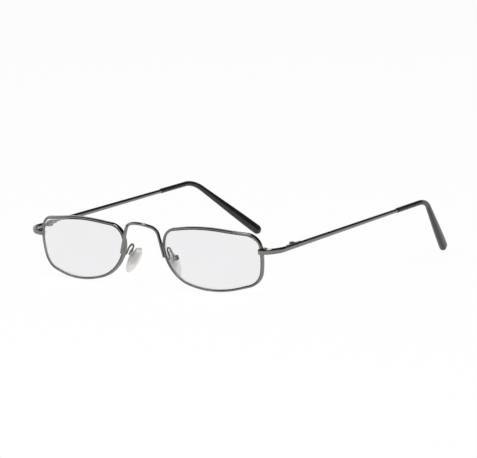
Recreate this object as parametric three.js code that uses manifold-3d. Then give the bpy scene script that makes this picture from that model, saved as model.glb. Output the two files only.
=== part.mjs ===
// Reading glasses: a wire front with two bevelled lenses, barrel hinges, folding temples
// with plastic tips, and nose pads that rock on wire arms.
// Millimetres and degrees. +X is the wearer's left, +Y runs back along the temples, +Z is up.

import * as THREE from 'three';
import { mergeVertices } from 'three/addons/utils/BufferGeometryUtils.js';
import Module from 'manifold-3d';

// Eye shape: the rim wire's centreline, as corners that are rounded off.
// Each corner is [towards the temple, up, radius], in halves of the eye's width for the first
// and of its height for the others.
const EYE_WIDTH = 46.3;
const EYE_HEIGHT = 25.5;
const EYE_SETBACK = 0.34;
const NOSE_GAP = 20.7;
const EYE_CORNERS = [
  [1.01, 0, 2.35],
  [0.98, 0.79, 0.52],
  [-0.126, 1.063, 5.4],
  [-0.946, 0.822, 0.55],
  [-1.015, 0.212, 0.7],
  [-0.849, -0.692, 1.33],
  [0.033, -1.116, 3.9],
  [0.932, -0.757, 0.57],
];
const BASE_RADIUS = 69;
const WRAP = 5.3;
const FRONT_TILT = 7.5;

// Rim wire and lens
const RIM_THICKNESS = 1.05;
const RIM_DEPTH = 1.7;
const RIM_EDGE = 0.4;
const GROOVE_DEPTH = 0.35;
const GROOVE_WIDTH = 0.9;
const LENS_CENTRE = 2.0;
const LENS_EDGE = 1.2;
const LENS_GAP = 0.06;

// Soldered seats, and the gap left where two pieces lie against each other
const SEAT_GAP = 0.05;

// Bridge wire
const BRIDGE_HEIGHT = 1.25;
const BRIDGE_DEPTH = 1.3;
const BRIDGE_EDGE = 0.5;
const BRIDGE_BLUNT = 0.38;
const BRIDGE_CORNER_INSET = 2.52;
const BRIDGE_CORNER_RISE = 10.75;
const BRIDGE_CROWN_RISE = 4;
const BRIDGE_CROWN_FORWARD = 4.87;
const BRIDGE_SETBACK = 0.9;
const BRIDGE_FOOT_RISE = -0.7;
const BRIDGE_FOOT_OVERLAP = 0.15;
const BRIDGE_BEND = 5;
const BRIDGE_CROWN = 7.9;

// Closing block that draws the rim's two ends together
const LOCK_RISE = 3.8;
const LOCK_SLIT = 0.3;
const LOCK_ROOT = 0.3;
const LOCK_LENGTH = 2.6;
const LOCK_HALF_HEIGHT = 1;
const LOCK_BACK = 0.95;
const LOCK_SCREW_RADIUS = 0.45;
const LOCK_SCREW_OUT = 1.65;
const LOCK_HEAD_RADIUS = 0.75;
const LOCK_HEAD_HEIGHT = 0.35;

// End piece: a flat bar from the rim's front, bent back to the hinge
const END_HEIGHT = 2.35;
const END_THICKNESS = 1.2;
const END_EDGE = 0.35;
const END_OVERLAP = 0.5;
const END_FLAT = 6;
const END_BEND = 7;

// Hinge: place of the butt joint, the temple's set, knuckles and pin
const HINGE_OUTSET = 6.94;
const HINGE_SETBACK = 18.9;
const HINGE_RISE = 5.98;
const BUTT_GAP = 0.1;
const KNUCKLE_RADIUS = 1.2;
const KNUCKLE_HEIGHT = 0.7;
const KNUCKLE_GAP = 0.06;
const LEAF_LENGTH = 4.5;
const LEAF_HEIGHT = 1.9;
const LEAF_THICKNESS = 0.8;
const PIN_RADIUS = 0.5;
const PIN_GAP = 0.05;
const PIN_HEAD_RADIUS = 0.95;
const PIN_HEAD_HEIGHT = 0.25;

// Slotted heads of all the screws
const SCREW_SLOT = 0.2;
const SCREW_SLOT_DEPTH = 0.15;
const SCREW_BEVEL = 0.12;

// Temple wire, from the butt joint to the bend behind the ear
const TEMPLE_WIDTH = 1.4;
const TEMPLE_HEIGHT = 2.2;
const TEMPLE_EDGE = 0.6;
const TEMPLE_END = 1.6;
const TEMPLE_STRAIGHT = 94.2;
const TEMPLE_BEND = 13;
const TEMPLE_SPLAY = 1.56;
const TEMPLE_LIFT = 4.36;
const CORE_DIAMETER = 1;
const CORE_SHORT = 9;

// Temple tip: a plastic sleeve that drops behind the ear and widens to a paddle
const TIP_SLEEVE = 16.4;
const TIP_LENGTH = 41.3;
const TIP_DROP = 42.6;
const TIP_INWARD = 16.4;
const TIP_MOUTH = 2.1;
const TIP_PADDLE_HEIGHT = 4.1;
const TIP_PADDLE_WIDTH = 3.1;
const TIP_DOME = 2.2;
const TIP_BORE_GAP = 0.1;

// Nose pad: a soft oval on a metal insert, whose tab rocks on a screw in the pad box
const PAD_LENGTH = 11.6;
const PAD_WIDTH = 7.6;
const PAD_THICKNESS = 2.2;
const PAD_EDGE = 1.3;
const PAD_TAPER = 0.15;
const PAD_ARM_RISE = -0.5;
const PAD_OUTSET = 1;
const PAD_SETBACK = 6;
const PAD_DROP = 2.1;
const PAD_FRONTAL = 26;
const PAD_SPLAY = 2;
const PAD_LEAN = 11;
const PAD_HANG = 1.9;
const PAD_CLEARANCE = 0.3;
const PAD_BOX_SIZE = 1.9;
const PAD_BOX_WALL = 0.45;
const PAD_ROOM = 0.1;
const PAD_SCREW_RADIUS = 0.4;
const PAD_HEAD_RADIUS = 0.7;
const PAD_HEAD_HEIGHT = 0.35;
const INSERT_LENGTH = 5.4;
const INSERT_WIDTH = 3.2;
const INSERT_THICKNESS = 0.5;
const TAB_RADIUS = 0.6;
const TAB_GAP = 0.06;

// Wire arm of the nose pad: points that its loop passes.
// The first two are set out from the arm's foot on the rim, the last from the pad screw.
const ARM_DIAMETER = 0.8;
const ARM_RISING = new THREE.Vector3(-0.2, 2.4, 1.15);
const ARM_TOP = new THREE.Vector3(-0.9, 4.2, 1.7);
const ARM_FALLING = new THREE.Vector3(0.1, -1.3, 2.6);

// Facets
const BEND_STEP = 10;
const ROUTE_STEP = 2;
const RIM_REACH = 2.6;
const LENS_RINGS = [0.4, 0.75];
const CORNER_STEPS = 2;
const ROUND_SIDES = 16;
const THIN_SIDES = 10;
const PAD_SIDES = 24;
const PAD_LAYERS = 5;
const DOME_STEPS = 4;
const SHANK_STEPS = 5;
const PADDLE_STEPS = 6;
const END_STEPS = 18;
const ARM_STEPS = 18;
const BRIDGE_STEPS = 30;

const FAR = 20;
const SIDES = { left: 1, right: -1 };
const rad = THREE.MathUtils.degToRad;
const point = (x, y, z) => new THREE.Vector3(x, y, z);
const wasm = await Module();
wasm.setup();

// Joining and cutting of closed shapes

function solid(geometry) {
  const bare = new THREE.BufferGeometry();
  bare.setAttribute('position', geometry.getAttribute('position'));
  bare.setIndex(geometry.getIndex());
  const merged = mergeVertices(bare);
  const vertProperties = Float32Array.from(merged.getAttribute('position').array);
  const triVerts = Uint32Array.from(merged.getIndex().array);
  return new wasm.Manifold(new wasm.Mesh({ numProp: 3, vertProperties, triVerts }));
}

function shapeOf(body) {
  const mesh = body.getMesh();
  const geometry = new THREE.BufferGeometry();
  geometry.setAttribute('position', new THREE.BufferAttribute(mesh.vertProperties, 3));
  geometry.setIndex(new THREE.BufferAttribute(mesh.triVerts, 1));
  return geometry;
}

function join(first, ...others) {
  return shapeOf(others.reduce((body, other) => body.add(solid(other)), solid(first)));
}

function cut(first, ...tools) {
  return shapeOf(tools.reduce((body, tool) => body.subtract(solid(tool)), solid(first)));
}

function mirrored(geometry) {
  const copy = geometry.clone().scale(-1, 1, 1);
  const order = Array.from(copy.getIndex().array);
  for (let i = 0; i < order.length; i += 3) {
    order.splice(i, 3, order[i], order[i + 2], order[i + 1]);
  }
  copy.setIndex(order);
  return copy;
}

// Plain shapes with their sizes given as low and high corners, or along Z

function block(low, high) {
  const size = high.clone().sub(low);
  const middle = low.clone().add(high).multiplyScalar(0.5);
  return new THREE.BoxGeometry(size.x, size.y, size.z).translate(middle.x, middle.y, middle.z);
}

function rod(radius, low, high) {
  const turned = new THREE.CylinderGeometry(radius, radius, high - low, ROUND_SIDES);
  return turned.rotateX(Math.PI / 2).translate(0, 0, (low + high) / 2);
}

// A slotted screw along Z: the head's seat is at z = 0 and the shank runs down.
function screw(radius, length, headRadius, headHeight) {
  const profile = [
    new THREE.Vector2(0, -length),
    new THREE.Vector2(radius, -length),
    new THREE.Vector2(radius, 0),
    new THREE.Vector2(headRadius, 0),
    new THREE.Vector2(headRadius, headHeight - SCREW_BEVEL),
    new THREE.Vector2(headRadius - SCREW_BEVEL, headHeight),
    new THREE.Vector2(0, headHeight),
  ];
  const turned = new THREE.LatheGeometry(profile, ROUND_SIDES).rotateX(Math.PI / 2);
  const slotFloor = headHeight - SCREW_SLOT_DEPTH;
  const slot = block(point(-FAR, -SCREW_SLOT / 2, slotFloor), point(FAR, SCREW_SLOT / 2, FAR));
  return cut(turned, slot);
}

// Lines with rounded corners, and places along them

function bendsOf(corners, closed) {
  const count = corners.length;
  const bends = corners.map((corner, i) => {
    const before = corners[(i + count - 1) % count].at.clone().sub(corner.at);
    const after = corners[(i + 1) % count].at.clone().sub(corner.at);
    const half = before.angleTo(after) / 2;
    const isEnd = !closed && (i === 0 || i === count - 1);
    const reach = isEnd ? 0 : corner.radius / Math.tan(half);
    return { corner: corner.at, before, after, half, reach };
  });
  return bends.map((bend, i) => {
    const shareBefore = bend.before.length() / (bend.reach + bends[(i + count - 1) % count].reach);
    const shareAfter = bend.after.length() / (bend.reach + bends[(i + 1) % count].reach);
    return { ...bend, reach: bend.reach * Math.min(1, shareBefore, shareAfter) };
  });
}

function roundedLine(corners, closed, step) {
  const line = [];
  for (const { corner, before, after, half, reach } of bendsOf(corners, closed)) {
    if (reach === 0) {
      line.push(corner.clone());
      continue;
    }
    const radius = reach * Math.tan(half);
    const travel = before.clone().normalize().negate();
    const bisector = before.clone().normalize().add(after.clone().normalize()).normalize();
    const centre = corner.clone().addScaledVector(bisector, radius / Math.sin(half));
    const spoke = corner.clone().addScaledVector(travel, -reach).sub(centre);
    const sweep = Math.PI - 2 * half;
    const steps = Math.max(1, Math.ceil(sweep / rad(step)));
    for (let i = 0; i <= steps; i += 1) {
      const angle = (sweep * i) / steps;
      const onArc = centre.clone().addScaledVector(spoke, Math.cos(angle));
      line.push(onArc.addScaledVector(travel, radius * Math.sin(angle)));
    }
  }
  return line;
}

function routeOf(line) {
  const marks = [0];
  for (let i = 1; i < line.length; i += 1) {
    marks.push(marks[i - 1] + line[i].distanceTo(line[i - 1]));
  }
  const length = marks[marks.length - 1];
  const at = (distance) => {
    const here = THREE.MathUtils.clamp(distance, 0, length);
    const next = Math.max(1, marks.findIndex((mark) => mark >= here));
    const part = (here - marks[next - 1]) / (marks[next] - marks[next - 1]);
    return line[next - 1].clone().lerp(line[next], part);
  };
  return { length, at };
}

function spread(from, to, count) {
  return Array.from({ length: count + 1 }, (_, i) => from + ((to - from) * i) / count);
}

// Skins: rings of points joined into a closed shape. A ring of one point closes to a tip.

function capOrder(ring) {
  const normal = point(0, 0, 0);
  const centre = point(0, 0, 0);
  ring.forEach((p, i) => {
    centre.addScaledVector(p, 1 / ring.length);
    normal.add(p.clone().sub(ring[0]).cross(ring[(i + 1) % ring.length].clone().sub(ring[0])));
  });
  normal.normalize();
  const across = ring[0].clone().sub(centre).normalize();
  const up = normal.clone().cross(across);
  const flat = ring.map((p) => {
    const arm = p.clone().sub(centre);
    return new THREE.Vector2(arm.dot(across), arm.dot(up));
  });
  return THREE.ShapeUtils.triangulateShape(flat, []).map(([a, b, c]) => {
    const turn = flat[b].clone().sub(flat[a]).cross(flat[c].clone().sub(flat[a]));
    return turn > 0 ? [a, b, c] : [a, c, b];
  });
}

function signedVolume(points, faces) {
  const triple = ([a, b, c]) => points[a].dot(points[b].clone().cross(points[c]));
  return faces.reduce((sum, face) => sum + triple(face), 0);
}

function skin(rings) {
  const points = rings.flat();
  const faces = [];
  let start = 0;
  for (let r = 0; r + 1 < rings.length; r += 1) {
    const here = rings[r].length;
    const there = rings[r + 1].length;
    const next = start + here;
    const count = Math.max(here, there);
    for (let i = 0; i < count; i += 1) {
      const k = (i + 1) % count;
      if (here > 1) faces.push([start + i, start + k, next + (there > 1 ? i : 0)]);
      if (there > 1) faces.push([start + (here > 1 ? k : 0), next + k, next + i]);
    }
    start = next;
  }
  const last = rings[rings.length - 1];
  if (rings[0].length > 1) capOrder(rings[0]).forEach(([a, b, c]) => faces.push([a, c, b]));
  if (last.length > 1) capOrder(last).forEach((face) => faces.push(face.map((i) => start + i)));
  const outward = signedVolume(points, faces) > 0;
  const geometry = new THREE.BufferGeometry().setFromPoints(points);
  geometry.setIndex(faces.flatMap(([a, b, c]) => (outward ? [a, b, c] : [a, c, b])));
  return geometry;
}

// Rounded rectangle: [across, up] points, with quarter circles at its corners.
function roundedSection(width, height, radius) {
  const corner = Math.min(radius, width / 2, height / 2);
  const section = [];
  for (const [x, y, start] of [[1, 1, 0], [-1, 1, 90], [-1, -1, 180], [1, -1, 270]]) {
    for (let i = 0; i <= CORNER_STEPS; i += 1) {
      const angle = rad(start + (90 * i) / CORNER_STEPS);
      const across = x * (width / 2 - corner) + corner * Math.cos(angle);
      const up = y * (height / 2 - corner) + corner * Math.sin(angle);
      section.push([across, up]);
    }
  }
  return section;
}

function roundSection(diameter, sides) {
  const angles = spread(0, 2 * Math.PI, sides).slice(0, sides);
  return angles.map((angle) => [(diameter / 2) * Math.cos(angle), (diameter / 2) * Math.sin(angle)]);
}

// A wire: a section carried along a route without twist. "side" is the section's first axis.
function wire(route, distances, sectionAt, side) {
  const nudge = 0.02;
  const across = side.clone();
  return skin(distances.map((distance) => {
    const travel = route.at(distance + nudge).sub(route.at(distance - nudge)).normalize();
    across.addScaledVector(travel, -across.dot(travel)).normalize();
    const up = across.clone().cross(travel);
    const centre = route.at(distance);
    return sectionAt(distance).map(([x, y]) => (
      centre.clone().addScaledVector(across, x).addScaledVector(up, y)
    ));
  }));
}

// Frames of the left side: the eye and the nose pad in the front's frame, the hinge in the whole's

const eyeSpacing = EYE_WIDTH + NOSE_GAP;
const hingeSide = (eyeSpacing + EYE_WIDTH) / 2 + HINGE_OUTSET;
const frontFrame = new THREE.Matrix4().makeRotationX(rad(FRONT_TILT));
const eyeFrame = new THREE.Matrix4().makeRotationZ(rad(WRAP)).setPosition(eyeSpacing / 2, EYE_SETBACK, 0);
const hingeTurn = new THREE.Euler(rad(TEMPLE_LIFT), 0, rad(TEMPLE_SPLAY), 'ZXY');
const hingeFrame = new THREE.Matrix4().makeRotationFromEuler(hingeTurn);
hingeFrame.setPosition(hingeSide, HINGE_SETBACK, HINGE_RISE);
const hingeInFront = frontFrame.clone().invert().multiply(hingeFrame);

// Eye outline on the lens's base curve. Eye frame: x towards the temple, y back, z up.

const eyeCorners = EYE_CORNERS.map(([across, up, radius]) => (
  { at: point((across * EYE_WIDTH) / 2, (up * EYE_HEIGHT) / 2, 0), radius: (radius * EYE_HEIGHT) / 2 }
));
const eyeLoop = roundedLine(eyeCorners, true, ROUTE_STEP);

function crossing(rise, towardsTemple) {
  const count = eyeLoop.length;
  for (let i = 0; i < count; i += 1) {
    const a = eyeLoop[i];
    const b = eyeLoop[(i + 1) % count];
    const passes = (a.y - rise) * (b.y - rise) <= 0 && a.y !== b.y;
    if (passes && a.x > 0 === towardsTemple) {
      return { index: i, at: a.clone().lerp(b, (rise - a.y) / (b.y - a.y)) };
    }
  }
  throw new Error(`the eye outline does not reach ${rise}`);
}

// The loop from just above the closing slit, over the brow and nose, to just below it
function openLoop() {
  const top = crossing(LOCK_RISE + LOCK_SLIT / 2, true);
  const bottom = crossing(LOCK_RISE - LOCK_SLIT / 2, true);
  const count = eyeLoop.length;
  const around = (bottom.index - top.index + count) % count || count;
  const between = Array.from({ length: around }, (_, i) => eyeLoop[(top.index + 1 + i) % count]);
  return routeOf([top.at, ...between, bottom.at]);
}

function onBase(u, v) {
  return point(u, BASE_RADIUS - Math.sqrt(BASE_RADIUS ** 2 - u * u - v * v), v);
}

function backNormal(u, v) {
  return point(0, BASE_RADIUS, 0).sub(onBase(u, v)).normalize();
}

const rimRoute = openLoop();
const rimStations = Math.ceil(rimRoute.length / RIM_REACH);
const rimFrames = spread(0, rimRoute.length, rimStations).map((distance) => {
  const nudge = 0.05;
  const here = rimRoute.at(distance);
  const before = rimRoute.at(distance - nudge);
  const after = rimRoute.at(distance + nudge);
  const travel = onBase(after.x, after.y).sub(onBase(before.x, before.y)).normalize();
  const back = point(0, 1, 0).addScaledVector(travel, -travel.y).normalize();
  const out = back.clone().cross(travel);
  return { u: here.x, v: here.y, at: onBase(here.x, here.y), out, back };
});

function offRim(frame, out, back) {
  return frame.at.clone().addScaledVector(frame.out, out).addScaledVector(frame.back, back);
}

// Where the rim's centreline passes a given height, in the front's frame
function rimAt(rise, towardsTemple) {
  const { at } = crossing(rise, towardsTemple);
  return onBase(at.x, at.y).applyMatrix4(eyeFrame);
}

// A rounded bar, [out, back], with the lens groove let into the middle of its inner face
function rimSection(grow, groove) {
  const bar = roundedSection(RIM_THICKNESS + 2 * grow, RIM_DEPTH + 2 * grow, RIM_EDGE + grow);
  const inner = -RIM_THICKNESS / 2 - grow;
  const lip = GROOVE_WIDTH / 2;
  const trough = [[inner, lip], [inner + groove, 0], [inner, -lip]];
  const half = bar.length / 2;
  return groove > 0 ? [...bar.slice(0, half), ...trough, ...bar.slice(half)] : bar;
}

function rimShape(section) {
  return skin(rimFrames.map((frame) => section.map(([out, back]) => offRim(frame, out, back))));
}

const rim = rimShape(rimSection(0, GROOVE_DEPTH));

// The room that the rim takes up, in the front's frame: its soldered neighbours are cut back to this
const rimRoom = rimShape(rimSection(SEAT_GAP, 0)).applyMatrix4(eyeFrame);

// Lens: thicker in the middle, with a bevel that stands in the rim's groove

function lensShape() {
  const wall = -RIM_THICKNESS / 2 - LENS_GAP;
  const ridge = -RIM_THICKNESS / 2 + GROOVE_DEPTH - LENS_GAP;
  const lip = GROOVE_WIDTH / 2 - LENS_GAP;
  const halfAt = (u, v) => {
    const fall = (LENS_CENTRE - LENS_EDGE) * ((u * u + v * v) / (EYE_WIDTH / 2) ** 2);
    return (LENS_CENTRE - fall) / 2;
  };
  const stations = rimFrames.slice(0, -1);
  const edgeRing = (out, depthAt) => stations.map((f) => offRim(f, out, depthAt(f)));
  const faceRing = (share, face) => stations.map((f) => {
    const inside = offRim(f, wall, 0);
    const u = inside.x * share;
    const v = inside.z * share;
    return onBase(u, v).addScaledVector(backNormal(u, v), face * halfAt(u, v));
  });
  const pole = (face) => [point(0, face * halfAt(0, 0), 0)];
  return skin([
    pole(-1),
    ...LENS_RINGS.map((share) => faceRing(share, -1)),
    edgeRing(wall, (f) => -halfAt(f.u, f.v)),
    edgeRing(wall, () => -lip),
    edgeRing(ridge, () => 0),
    edgeRing(wall, () => lip),
    edgeRing(wall, (f) => halfAt(f.u, f.v)),
    ...LENS_RINGS.map((share) => faceRing(share, 1)).reverse(),
    pole(1),
  ]);
}

// Bridge: one bent wire whose feet lie on the front of both rims, and whose crown bows forward

function bridgeShape() {
  const foot = rimAt(BRIDGE_FOOT_RISE, false);
  foot.x += BRIDGE_FOOT_OVERLAP;
  foot.y -= (RIM_DEPTH + BRIDGE_DEPTH) / 2 + SEAT_GAP;
  const corner = point(
    NOSE_GAP / 2 - BRIDGE_CORNER_INSET,
    foot.y + BRIDGE_SETBACK,
    BRIDGE_CORNER_RISE,
  );
  const apex = point(0, corner.y - BRIDGE_CROWN_FORWARD, BRIDGE_CORNER_RISE + BRIDGE_CROWN_RISE);
  const flip = (p) => point(-p.x, p.y, p.z);
  const line = roundedLine([
    { at: foot },
    { at: corner, radius: BRIDGE_BEND },
    { at: apex, radius: BRIDGE_CROWN },
    { at: flip(corner), radius: BRIDGE_BEND },
    { at: flip(foot) },
  ], false, ROUTE_STEP);
  const route = routeOf(line);
  const section = (distance) => {
    const fromEnd = Math.min(distance, route.length - distance);
    const inset = fromEnd < BRIDGE_BLUNT ? BRIDGE_BLUNT - fromEnd : 0;
    return roundedSection(BRIDGE_DEPTH - inset, BRIDGE_HEIGHT - inset, BRIDGE_EDGE);
  };
  const between = spread(BRIDGE_BLUNT, route.length - BRIDGE_BLUNT, BRIDGE_STEPS);
  const whole = wire(route, [0, ...between, route.length], section, point(0, 1, 0));
  return cut(whole, rimRoom, mirrored(rimRoom));
}

// End piece: flat where it crosses the rim, and matched to the temple at the butt joint

const lockPoint = rimAt(LOCK_RISE, true);

function endPieceShape(grow) {
  const inner = lockPoint.clone();
  inner.x -= END_OVERLAP;
  inner.y -= (RIM_DEPTH + END_THICKNESS) / 2 + SEAT_GAP;
  const butt = point(0, -BUTT_GAP / 2, 0).applyMatrix4(hingeInFront);
  const back = point(0, 1, 0).transformDirection(hingeInFront);
  const corner = butt.clone().addScaledVector(back, (inner.y - butt.y) / back.y);
  const route = routeOf(roundedLine(
    [{ at: inner }, { at: corner, radius: END_BEND }, { at: butt }],
    false,
    ROUTE_STEP,
  ));
  const section = (distance) => {
    const share = THREE.MathUtils.smoothstep(distance, END_FLAT, route.length - LEAF_LENGTH);
    const thickness = THREE.MathUtils.lerp(END_THICKNESS, TEMPLE_WIDTH, share) + 2 * grow;
    const height = THREE.MathUtils.lerp(END_HEIGHT, TEMPLE_HEIGHT, share) + 2 * grow;
    return roundedSection(height, thickness, THREE.MathUtils.lerp(END_EDGE, TEMPLE_EDGE, share));
  };
  const up = point(0, 0, 1).transformDirection(hingeInFront);
  return wire(route, spread(0, route.length, END_STEPS), section, up);
}

const endPiece = cut(endPieceShape(0), rimRoom);
const endPieceRoom = endPieceShape(SEAT_GAP);

// Closing block: two halves, above and below the slit, with a screw from above

function lockHalfShape(half) {
  const low = LOCK_SLIT / 2;
  const high = low + LOCK_HALF_HEIGHT;
  const front = -RIM_DEPTH / 2 - SEAT_GAP;
  const body = block(
    point(LOCK_ROOT, front, Math.min(half * low, half * high)),
    point(LOCK_LENGTH, LOCK_BACK, Math.max(half * low, half * high)),
  );
  const bore = rod(LOCK_SCREW_RADIUS + PIN_GAP, -FAR, FAR).translate(LOCK_SCREW_OUT, 0, 0);
  const placed = cut(body, bore).translate(lockPoint.x, lockPoint.y, lockPoint.z);
  return cut(placed, rimRoom, endPieceRoom);
}

function lockScrewShape() {
  const seat = LOCK_SLIT / 2 + LOCK_HALF_HEIGHT + SEAT_GAP;
  const length = 2 * LOCK_HALF_HEIGHT + LOCK_SLIT;
  const turned = screw(LOCK_SCREW_RADIUS, length, LOCK_HEAD_RADIUS, LOCK_HEAD_HEIGHT);
  return turned.translate(lockPoint.x + LOCK_SCREW_OUT, lockPoint.y, lockPoint.z + seat);
}

// Hinge: leaves on the inner faces of the end piece and the temple.
// Hinge frame: x outwards, y back along the temple, z along the pin, origin in the butt joint.

const pinInset = TEMPLE_WIDTH / 2 + SEAT_GAP + KNUCKLE_RADIUS;
const middleTop = KNUCKLE_HEIGHT / 2;
const upperFloor = middleTop + KNUCKLE_GAP;
const upperTop = upperFloor + KNUCKLE_HEIGHT;

function onPin(radius, low, high) {
  return rod(radius, low, high).translate(-pinInset, 0, 0);
}

function leafPlate(from, to) {
  const face = -TEMPLE_WIDTH / 2 - SEAT_GAP;
  return block(point(face - LEAF_THICKNESS, from, -LEAF_HEIGHT / 2), point(face, to, LEAF_HEIGHT / 2));
}

function frontLeafShape() {
  const plate = leafPlate(-LEAF_LENGTH, -BUTT_GAP);
  const middleRoom = onPin(KNUCKLE_RADIUS + KNUCKLE_GAP, -upperFloor, upperFloor);
  const upper = onPin(KNUCKLE_RADIUS, upperFloor, upperTop);
  const lower = onPin(KNUCKLE_RADIUS, -upperTop, -upperFloor);
  return cut(join(cut(plate, middleRoom), upper, lower), onPin(PIN_RADIUS + PIN_GAP, -FAR, FAR));
}

function templeLeafShape() {
  const plate = leafPlate(BUTT_GAP, LEAF_LENGTH);
  const upperRoom = onPin(KNUCKLE_RADIUS + KNUCKLE_GAP, middleTop, FAR);
  const lowerRoom = onPin(KNUCKLE_RADIUS + KNUCKLE_GAP, -FAR, -middleTop);
  const middle = onPin(KNUCKLE_RADIUS, -middleTop, middleTop);
  const whole = join(cut(plate, upperRoom, lowerRoom), middle);
  return cut(whole, onPin(PIN_RADIUS + PIN_GAP, -FAR, FAR));
}

function hingeScrewShape() {
  const length = 2 * upperTop + PIN_HEAD_HEIGHT / 2;
  const turned = screw(PIN_RADIUS, length, PIN_HEAD_RADIUS, PIN_HEAD_HEIGHT);
  return turned.translate(-pinInset, 0, upperTop + SEAT_GAP);
}

// Temple and its tip share one route: straight back, round the bend, down and inwards

const templeCorner = point(0, TEMPLE_STRAIGHT, 0);
const tipEnd = point(
  -TIP_LENGTH * Math.sin(rad(TIP_INWARD)),
  TEMPLE_STRAIGHT + TIP_LENGTH * Math.cos(rad(TIP_INWARD)) * Math.cos(rad(TIP_DROP)),
  -TIP_LENGTH * Math.cos(rad(TIP_INWARD)) * Math.sin(rad(TIP_DROP)),
);
const templeRoute = routeOf(roundedLine([
  { at: point(0, BUTT_GAP / 2, 0) },
  { at: templeCorner, radius: TEMPLE_BEND },
  { at: tipEnd },
], false, ROUTE_STEP));
const bendTurn = templeCorner.clone().normalize().angleTo(tipEnd.clone().sub(templeCorner));
const bendReach = TEMPLE_BEND * Math.tan(bendTurn / 2);
const bendStart = TEMPLE_STRAIGHT - bendReach;
const bendEnd = bendStart + TEMPLE_BEND * bendTurn;
const tipStart = bendStart - TIP_SLEEVE;
const bendSteps = Math.ceil(bendTurn / rad(BEND_STEP));
const coreEnd = templeRoute.length - CORE_SHORT;

function coreSection(diameter) {
  return roundSection(diameter, THIN_SIDES);
}

function templeShape() {
  const shank = wire(templeRoute, spread(0, tipStart, SHANK_STEPS), (distance) => {
    const share = distance / tipStart;
    const width = THREE.MathUtils.lerp(TEMPLE_WIDTH, TEMPLE_END, share);
    const height = THREE.MathUtils.lerp(TEMPLE_HEIGHT, TEMPLE_END, share);
    return roundedSection(width, height, TEMPLE_EDGE);
  }, point(1, 0, 0));
  const root = tipStart - CORE_DIAMETER;
  const coreStops = [root, ...spread(bendStart, bendEnd, bendSteps), coreEnd];
  const core = wire(templeRoute, coreStops, () => coreSection(CORE_DIAMETER), point(1, 0, 0));
  return join(shank, core);
}

function tipShape() {
  const mouth = tipStart + SEAT_GAP;
  const end = templeRoute.length;
  const domeStart = end - TIP_DOME;
  const section = (distance) => {
    if (distance >= end) return [[0, 0]];
    const swell = THREE.MathUtils.smoothstep(distance, bendStart, domeStart);
    const close = Math.max(0, distance - domeStart) / TIP_DOME;
    const round = Math.sqrt(1 - close * close);
    const width = THREE.MathUtils.lerp(TIP_MOUTH, TIP_PADDLE_WIDTH, swell) * round;
    const height = THREE.MathUtils.lerp(TIP_MOUTH, TIP_PADDLE_HEIGHT, swell) * round;
    return roundedSection(width, height, width / 2);
  };
  const domeAngles = spread(0, 90, DOME_STEPS).slice(1, DOME_STEPS);
  const stops = [
    mouth,
    ...spread(bendStart, bendEnd, bendSteps),
    ...spread(bendEnd, domeStart, PADDLE_STEPS).slice(1),
    ...domeAngles.map((angle) => domeStart + TIP_DOME * Math.sin(rad(angle))),
    end,
  ];
  const sleeve = wire(templeRoute, stops, section, point(1, 0, 0));
  const boreStops = [
    mouth - CORE_DIAMETER,
    ...spread(bendStart, bendEnd, bendSteps),
    coreEnd + TIP_BORE_GAP,
  ];
  const boreSize = CORE_DIAMETER + 2 * TIP_BORE_GAP;
  const bore = wire(templeRoute, boreStops, () => coreSection(boreSize), point(1, 0, 0));
  return cut(sleeve, bore);
}

// Nose pad. Pad frame: x away from the nose, y back along the pad screw, z up along the pad.

const padFoot = rimAt(PAD_ARM_RISE, false);
const padTurn = new THREE.Euler(rad(-PAD_LEAN), rad(-PAD_FRONTAL), rad(-PAD_SPLAY), 'ZXY');
const padFrame = new THREE.Matrix4().makeRotationFromEuler(padTurn);
padFrame.setPosition(padFoot.x + PAD_OUTSET, padFoot.y + PAD_SETBACK, padFoot.z - PAD_DROP);
const boxHalf = PAD_BOX_SIZE / 2;
const boxNasal = -TAB_RADIUS - PAD_ROOM;
const padOuter = boxNasal - PAD_CLEARANCE;
const padMiddle = padOuter - PAD_THICKNESS / 2;
const tabHalf = boxHalf - PAD_BOX_WALL - TAB_GAP;

function padBoxBody(grow) {
  return block(
    point(boxNasal - grow, -boxHalf - grow, -boxHalf - grow),
    point(boxHalf + grow, boxHalf + grow, boxHalf + grow),
  );
}

function acrossPad(radius, low, high) {
  return rod(radius, -high, -low).rotateX(Math.PI / 2);
}

function padBoxShape() {
  const slotHalf = boxHalf - PAD_BOX_WALL;
  const slot = block(point(-FAR, -slotHalf, -FAR), point(TAB_RADIUS + PAD_ROOM, slotHalf, FAR));
  return cut(padBoxBody(0), slot, acrossPad(PAD_SCREW_RADIUS + PIN_GAP, -FAR, FAR));
}

function padScrewShape() {
  const length = PAD_BOX_SIZE + SEAT_GAP;
  const turned = screw(PAD_SCREW_RADIUS, length, PAD_HEAD_RADIUS, PAD_HEAD_HEIGHT);
  return turned.rotateX(-Math.PI / 2).translate(0, boxHalf + SEAT_GAP, 0);
}

function insertBody(grow) {
  const plateHalf = INSERT_THICKNESS / 2 + grow;
  const plate = block(
    point(padMiddle - plateHalf, -INSERT_WIDTH / 2 - grow, -INSERT_LENGTH / 2 - grow),
    point(padMiddle + plateHalf, INSERT_WIDTH / 2 + grow, INSERT_LENGTH / 2 + grow),
  ).translate(0, 0, -PAD_HANG / 2);
  const tabLow = point(padMiddle, -tabHalf - grow, -TAB_RADIUS - grow);
  const tab = block(tabLow, point(0, tabHalf + grow, TAB_RADIUS + grow));
  const tabEnd = acrossPad(TAB_RADIUS + grow, -tabHalf - grow, tabHalf + grow);
  return join(plate, tab, tabEnd);
}

function insertShape() {
  return cut(insertBody(0), acrossPad(PAD_SCREW_RADIUS + PIN_GAP, -FAR, FAR));
}

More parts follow.
